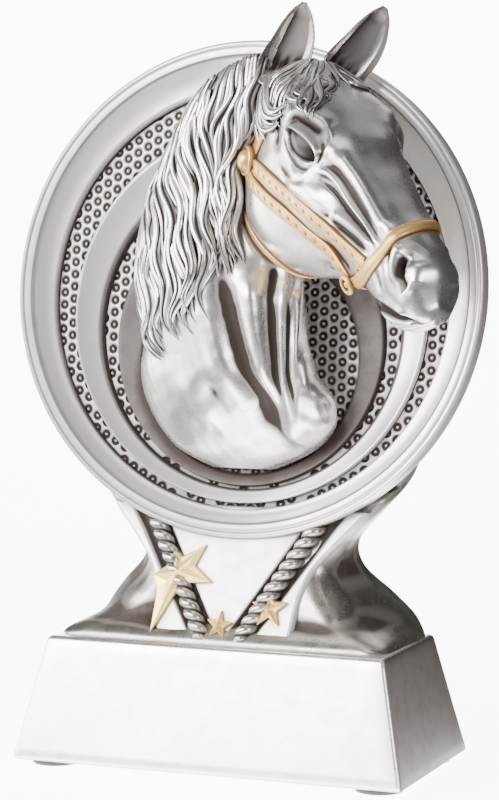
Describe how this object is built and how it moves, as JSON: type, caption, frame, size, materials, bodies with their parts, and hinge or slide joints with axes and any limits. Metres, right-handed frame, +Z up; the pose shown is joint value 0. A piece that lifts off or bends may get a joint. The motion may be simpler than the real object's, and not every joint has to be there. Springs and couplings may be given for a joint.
{
  "type": "horse head figurine",
  "caption": "Cast trophy on a sloping plinth: a horse's head in a halter rises out of a round stepped dish above a waist with a rope V and stars.",
  "frame": {"origin": "centre of the trophy's bounding box, on the surface that its pads stand on", "axes": "+Z up, -Y towards the front of the plinth, +X towards the side that the horse looks to"},
  "size_m": [0.1064, 0.0652, 0.151],
  "materials": {
    "silver_resin": "antique silver paint on cast resin, dark in the hollows, with a gold halter and stars",
    "pad_rubber": "matte black"
  },
  "bodies": {
    "root": {"trophy_casting": "silver_resin", "foot_pad_front_left": "pad_rubber", "foot_pad_front_right": "pad_rubber", "foot_pad_back_left": "pad_rubber", "foot_pad_back_right": "pad_rubber"}
  },
  "joints": []
}
